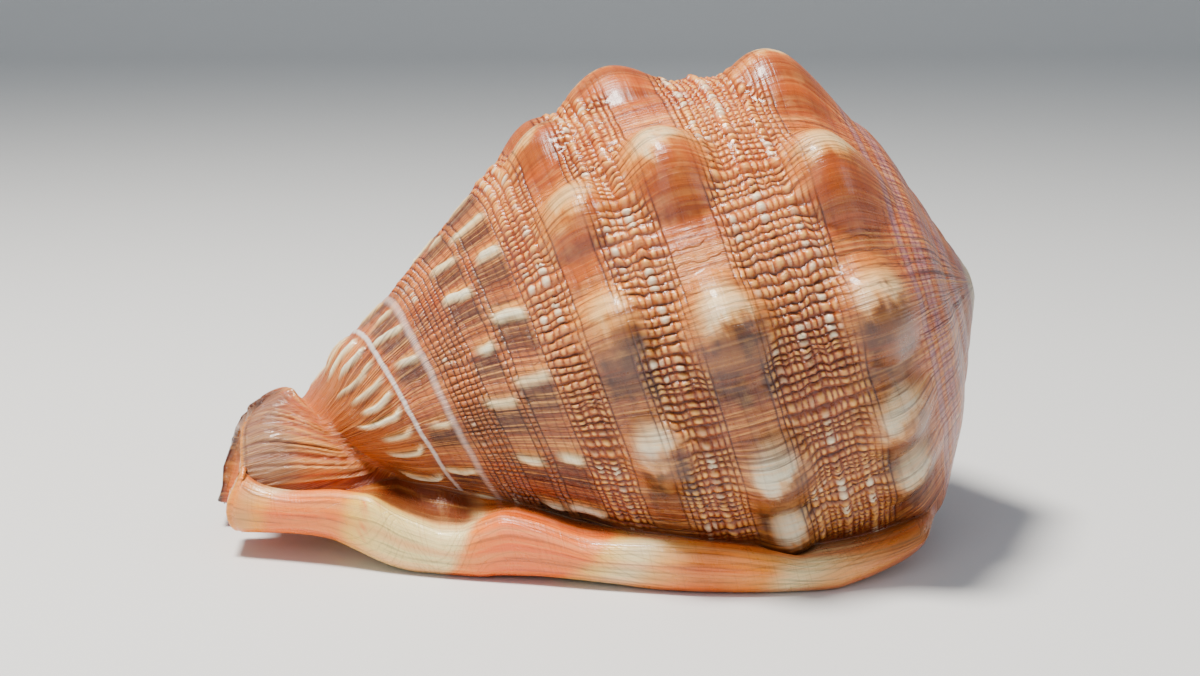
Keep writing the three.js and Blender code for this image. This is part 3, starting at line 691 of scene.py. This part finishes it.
# where each point lies, for the fine lines of the material: growth angle and row, and the
# counts of cords and beads passed so far, with the strength of the weave and share of white
under_cord = np.interp(under_row, cord_rows, np.arange(len(cord_rows)))
under_bead = np.interp(under_grow, bead_edges, np.arange(rib_count))
on_rim = opened + 0 * under_y
lie = np.stack([spread(grow, under_grow * (1 - on_rim) + (round_under * 3.1) * on_rim),
                spread(row + wander, under_row * (1 - on_rim) + station_col * on_rim),
                spread(0 * row, on_rim)], -1)
knit = np.stack([spread(cord_at, under_cord), spread(bead_at, under_bead),
                 spread(weave * (1 - band_here) * to_join, 0 * under_y)], -1)
cluster = 0.35 + 1.5 * ease(0.4, 0.75, grain2(deg, row, 27, 6.0, 5.0))
pale_share = np.minimum(cord_pale[cord_i] * cluster, 1) * plain_knob
pale_share = pale_share * (1 - 0.7 * brown_zone) * (1 - band_here)
pale_points = spread(pale_share, 0 * under_y)

# strength of the dark lines between the cords, by row, and of the open bands where only
# growth lines show
line_table = [(8, 0.3), (20, 0.45), (24, 0.15), (33, 0.2), (34.8, 0.9), (37, 0.5), (40, 0.4),
              (50, 0.4), (53, 0.9), (54.6, 0.9), (55.6, 0.15), (63.4, 0.2), (64.8, 0.9), (67, 0.5),
              (74, 0.4), (76.4, 0.9), (77.6, 0.9), (78.6, 0.15), (83.4, 0.2), (84.8, 0.9),
              (87, 0.4), (91, 0.45), (93.3, 0.95), (94.8, 0.4), (98.5, 0.4), (99.4, 1), (101.8, 1),
              (102.6, 0.35), (105.2, 0.4), (106.3, 1), (113.4, 1), (114.2, 0.4), (121, 0.3),
              (123, 0.2), (126, 0.05)]
lines_dark = line_through(row, line_table) * (1 - 0.6 * ease(1.5, 4, knob_here)) * (1 - band_here)
on_bar = np.clip(1.5 * bar_white, 0, 1)
lines_dark = lines_dark * (1 - 0.7 * on_bar)
open_band = (1 - weave) * (1 - np.maximum(0.7 * tan_zone ** 1.5, brown_zone))
open_band = open_band * (1 - 0.6 * band_here) * (1 - 0.85 * on_bar)
under_lines = line_through(under_row, line_table) * (1 - on_rim)
finish = np.stack([pale_points, spread(lines_dark * to_join, under_lines),
                   spread(open_band, 1 - 0.75 * on_rim)], -1)

# one closed mesh in metres, with the paint and the fields as attributes of its points
mesh = bpy.data.meshes.new("shell_surface")
faces = quads.tolist() + cap.tolist() + front.tolist()
mesh.from_pydata((points / 1000).tolist(), [], faces)
mesh.polygons.foreach_set("use_smooth", np.ones(len(mesh.polygons), bool))
for name, kind, key, values in (
        ("shell_colour", "FLOAT_COLOR", "color",
         np.concatenate([vertex_colour, np.ones((len(vertex_colour), 1))], 1)),
        ("lie", "FLOAT_VECTOR", "vector", lie), ("knit", "FLOAT_VECTOR", "vector", knit),
        ("finish", "FLOAT_VECTOR", "vector", finish)):
    layer = mesh.attributes.new(name, kind, "POINT")
    layer.data.foreach_set(key, np.ascontiguousarray(values, dtype=np.float32).ravel())
mesh.update()
shell = bpy.data.objects.new("shell_surface", mesh)
bpy.context.collection.objects.link(shell)

# polished lime: the growth colours, crisp beads and grooves, fine growth lines, waxy depth
material = bpy.data.materials.new("shell")
material.use_nodes = True
nodes, links = material.node_tree.nodes, material.node_tree.links
nodes.clear()
output = nodes.new("ShaderNodeOutputMaterial")
surface = nodes.new("ShaderNodeBsdfPrincipled")
links.new(surface.outputs["BSDF"], output.inputs["Surface"])


def attribute(name):
    """Reads one of the fields kept with the mesh."""
    node = nodes.new("ShaderNodeAttribute")
    node.attribute_name = name
    return node


def feed(socket, value):
    """A number goes in as a constant, an output as a link."""
    if isinstance(value, (int, float)):
        socket.default_value = value
    else:
        links.new(value, socket)


def arithmetic(kind, first, second=0.0):
    """One sum, product or other sum of two values."""
    node = nodes.new("ShaderNodeMath")
    node.operation = kind
    feed(node.inputs[0], first)
    feed(node.inputs[1], second)
    return node.outputs[0]


def product(first, second):
    """First value times the second."""
    return arithmetic("MULTIPLY", first, second)


def less(first, second):
    """First value less the second."""
    return arithmetic("SUBTRACT", first, second)


def larger(first, second):
    """The larger of two values."""
    return arithmetic("MAXIMUM", first, second)


def span(value, low_in, high_in, low_out, high_out):
    """Straight map of one range to another, held at both ends."""
    node = nodes.new("ShaderNodeMapRange")
    for socket, number_in in (("From Min", low_in), ("From Max", high_in), ("To Min", low_out),
                              ("To Max", high_out)):
        node.inputs[socket].default_value = number_in
    links.new(value, node.inputs["Value"])
    return node.outputs["Result"]


def joined(x, y, z=0.0):
    """Three values as one vector."""
    node = nodes.new("ShaderNodeCombineXYZ")
    for socket, value in zip(node.inputs, (x, y, z)):
        feed(socket, value)
    return node.outputs["Vector"]


def noise(across_growth, along_row, offset, detail):
    """Noise on growth angle and row, each with its own scale."""
    node = nodes.new("ShaderNodeTexNoise")
    node.inputs["Scale"].default_value = 1.0
    node.inputs["Detail"].default_value = detail
    node.inputs["Roughness"].default_value = 0.6
    links.new(joined(product(growth_at, across_growth),
                     product(row_at, along_row), offset), node.inputs["Vector"])
    return node.outputs["Fac"]


def painted(amount, under_paint, paint):
    """The paint so far, covered with one plain colour by the amount."""
    node = nodes.new("ShaderNodeMix")
    node.data_type = "RGBA"
    feed(node.inputs["Factor"], amount)
    links.new(under_paint, node.inputs["A"])
    node.inputs["B"].default_value = tuple(float(v) for v in paint) + (1.0,)
    return node.outputs["Result"]


def dome(count, power):
    """1 - |2f - 1|^power, where f is the fraction of the count: an arch for every step."""
    middle = less(product(arithmetic("FRACT", count), 2.0), 1.0)
    return less(1.0, arithmetic("POWER", arithmetic("ABSOLUTE", middle), power))


def chance(x, y):
    """One random value for every pair of whole numbers."""
    node = nodes.new("ShaderNodeTexWhiteNoise")
    node.noise_dimensions = "2D"
    links.new(joined(arithmetic("FLOOR", x), arithmetic("FLOOR", y)), node.inputs["Vector"])
    return node.outputs["Value"]


def three_of(name):
    """The three numbers of a field kept with the mesh."""
    node = nodes.new("ShaderNodeSeparateXYZ")
    links.new(attribute(name).outputs["Vector"], node.inputs["Vector"])
    return node.outputs["X"], node.outputs["Y"], node.outputs["Z"]


growth_at, row_at, rim_at = three_of("lie")
cord_count, bead_count, weave_at = three_of("knit")
share_at, line_at, open_at = three_of("finish")

# arches of the cords and beads, and one random number for each rib and each bead
cord_arch, bead_arch = dome(cord_count, 2.0), dome(bead_count, 2.0)
rib_chance = chance(bead_count, 3.0)
bead_chance = chance(bead_count, cord_count)
bead_top = product(cord_arch, bead_arch)

# dark gaps between cords, between beads, and between the ridges of the open bands
cord_gap = product(line_at, span(cord_arch, 0.08, 0.7, 1.0, 0.0))
bead_gap = product(weave_at, span(bead_arch, 0.15, 0.85, 1.0, 0.0))
bead_gap = product(bead_gap, span(rib_chance, 0.1, 0.8, 0.45, 1.0))
ridge_gap = product(open_at, span(bead_arch, 0.05, 0.65, 1.0, 0.0))
ridge_gap = product(ridge_gap, span(rib_chance, 0.3, 0.9, 0.0, 0.9))
gap = larger(larger(cord_gap, bead_gap), ridge_gap)

# white beads stand where the bead's random number is below the cord's share of white
is_pale = less(product(share_at, 0.72), bead_chance)
pale_top = product(span(is_pale, 0.0, 0.25, 0.0, 0.9), span(bead_top, 0.25, 0.95, 0.0, 1.0))
# pale tan on the top of every bead: partly the beads' own colour, partly painted highlight
tan_top_and_highlight = product(weave_at, span(bead_top, 0.4, 1.0, 0.0, 1.0))
tan_top_and_highlight = product(tan_top_and_highlight, span(bead_chance, 0.0, 1.0, 0.25, 1.0))
tan_top_and_highlight = product(tan_top_and_highlight, span(row_at, 92.0, 97.0, 1.0, 0.3))

# two pale plain cords in front, one crisp and one faint, by the row of their middle
crisp_cord_row, faint_cord_row = 122.3, 114.9
from_crisp = arithmetic("ABSOLUTE", less(row_at, crisp_cord_row))
from_faint = arithmetic("ABSOLUTE", less(row_at, faint_cord_row))
light_line = larger(span(from_crisp, 0.25, 0.6, 0.8, 0.0), span(from_faint, 0.2, 1.0, 0.4, 0.0))
light_line = product(light_line, less(1.0, rim_at))

# growth lines, broad growth bands, threads along the spiral, and cloudy mottling
growth_noise = noise(1.5, 0.045, 1.7, 4)
growth_wide = noise(0.45, 0.03, 6.3, 2)
thread_noise = noise(0.05, 2.3, 4.1, 3)
mottle = noise(0.3, 0.26, 8.3, 5)
dark_growth = product(span(growth_noise, 0.52, 0.62, 0.0, 0.85), span(open_at, 0.0, 1.0, 0.3, 1.0))
pale_growth = product(span(growth_noise, 0.47, 0.36, 0.0, 0.7), span(open_at, 0.0, 1.0, 0.2, 1.0))

paint = attribute("shell_colour").outputs["Color"]
paint = painted(dark_growth, paint, shade(74, 34, 22))
paint = painted(pale_growth, paint, shade(238, 180, 132))
paint = painted(span(growth_wide, 0.54, 0.70, 0.0, 0.34), paint, shade(132, 68, 42))
paint = painted(span(thread_noise, 0.56, 0.74, 0.0, 0.3), paint, shade(132, 70, 48))
paint = painted(span(mottle, 0.55, 0.8, 0.0, 0.22), paint, shade(236, 192, 142))
paint = painted(tan_top_and_highlight, paint, shade(240, 186, 134))
paint = painted(product(gap, 0.92), paint, shade(52, 20, 14))
paint = painted(light_line, paint, shade(226, 219, 214))
paint = painted(pale_top, paint, shade(248, 230, 204))
links.new(paint, surface.inputs["Base Color"])

# the finest relief: crisper beads, cords and growth lines than the mesh can hold
ribbed = product(span(cord_arch, 0.0, 1.0, 0.45, 1.0), span(bead_arch, 0.0, 0.9, 0.0, 1.0))
ribbed = product(product(weave_at, ribbed), 1.5)
threads = product(line_at, span(cord_arch, 0.0, 0.8, 0.0, 0.5))
lines = product(growth_noise, span(open_at, 0.0, 1.0, 0.7, 2.2))
lines = less(lines, product(ridge_gap, 0.8))
height = arithmetic("ADD", lines, product(thread_noise, 0.3))
height = arithmetic("ADD", height, arithmetic("ADD", ribbed, threads))
bump = nodes.new("ShaderNodeBump")
bump.inputs["Strength"].default_value = 0.6
bump.inputs["Distance"].default_value = 0.0005
links.new(height, bump.inputs["Height"])
links.new(bump.outputs["Normal"], surface.inputs["Normal"])
links.new(span(mottle, 0.3, 0.7, 0.22, 0.4), surface.inputs["Roughness"])
surface.inputs["IOR"].default_value = 1.5
surface.inputs["Coat Weight"].default_value = 0.2
surface.inputs["Coat Roughness"].default_value = 0.1
surface.inputs["Subsurface Weight"].default_value = 0.06
surface.inputs["Subsurface Radius"].default_value = (0.004, 0.002, 0.001)
surface.inputs["Subsurface Scale"].default_value = 0.3
mesh.materials.append(material)
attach(shell, "root")
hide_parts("shell")

# The floor
# A plain pale matt sheet under the shell, long and wide enough to fill the view, and bent
# up far behind it.
floor_mesh = bpy.data.meshes.new("floor")
reach, near_end_y, bend_y, bend_radius, wall = 4.0, -3.0, 1.6, 0.6, 2.5
profile = [(near_end_y, 0.0), (bend_y, 0.0)]
profile += [(bend_y + bend_radius * math.sin(t), bend_radius * (1 - math.cos(t)))
            for t in np.linspace(0.1, math.pi / 2, 14)]
profile += [(bend_y + bend_radius, wall)]
floor_points = [(x, y, z) for y, z in profile for x in (-reach, reach)]
floor_faces = [(2 * i, 2 * i + 1, 2 * i + 3, 2 * i + 2) for i in range(len(profile) - 1)]
floor_mesh.from_pydata(floor_points, [], floor_faces)
floor_mesh.polygons.foreach_set("use_smooth", np.ones(len(floor_mesh.polygons), bool))
floor_mesh.update()
floor = bpy.data.objects.new("floor", floor_mesh)
bpy.context.collection.objects.link(floor)
floor_material = bpy.data.materials.new("floor")
floor_material.use_nodes = True
floor_shader = floor_material.node_tree.nodes["Principled BSDF"]
floor_shader.inputs["Base Color"].default_value = (0.70, 0.70, 0.70, 1)
floor_shader.inputs["Roughness"].default_value = 0.6
floor_mesh.materials.append(floor_material)

# The light
# A small warm lamp above the canal end, two broad weak cool ones in front on the left and
# on the right, and a pale sky.
for name, place_at, size, power, tint in (
        ("key", (-0.24, -0.06, 0.82), 0.22, 18.5, (1.0, 0.95, 0.87)),
        ("fill", (-0.45, -0.75, 0.35), 0.6, 1.8, (0.80, 0.91, 1.0)),
        ("side", (0.75, -0.30, 0.35), 0.5, 1.4, (0.74, 0.89, 1.0))):
    lamp_data = bpy.data.lights.new(name, "AREA")
    lamp_data.shape = "DISK"
    lamp_data.size = size
    lamp_data.energy = power
    lamp_data.color = tint
    lamp = bpy.data.objects.new(name, lamp_data)
    lamp.location = place_at
    lamp.rotation_euler = (Vector((0, 0, 0.04)) - Vector(place_at)).to_track_quat("-Z", "Y").to_euler()
    bpy.context.collection.objects.link(lamp)
sky = bpy.data.worlds.new("sky")
sky.use_nodes = True
sky.node_tree.nodes["Background"].inputs["Color"].default_value = (0.80, 0.90, 1.0, 1)
sky.node_tree.nodes["Background"].inputs["Strength"].default_value = 0.36
bpy.context.scene.world = sky

# The camera
# It stands 42 cm off and a little above the shell, and looks across its shield side,
# slightly from the canal end.
camera_data = bpy.data.cameras.new("camera")
camera_data.sensor_width = 36.0
camera_data.lens = 63.0
camera_data.clip_start = 0.01
camera = bpy.data.objects.new("camera", camera_data)
raised, turned_by, distance = math.radians(11.0), math.radians(-4.0), 0.420
aim = Vector((0.00103, -0.00413, 0.039))
backward = Vector((math.sin(turned_by) * math.cos(raised), -math.cos(turned_by) * math.cos(raised),
                   math.sin(raised)))
camera.location = aim + backward * distance
camera.rotation_euler = backward.to_track_quat("Z", "Y").to_euler()
bpy.context.collection.objects.link(camera)
bpy.context.scene.camera = camera
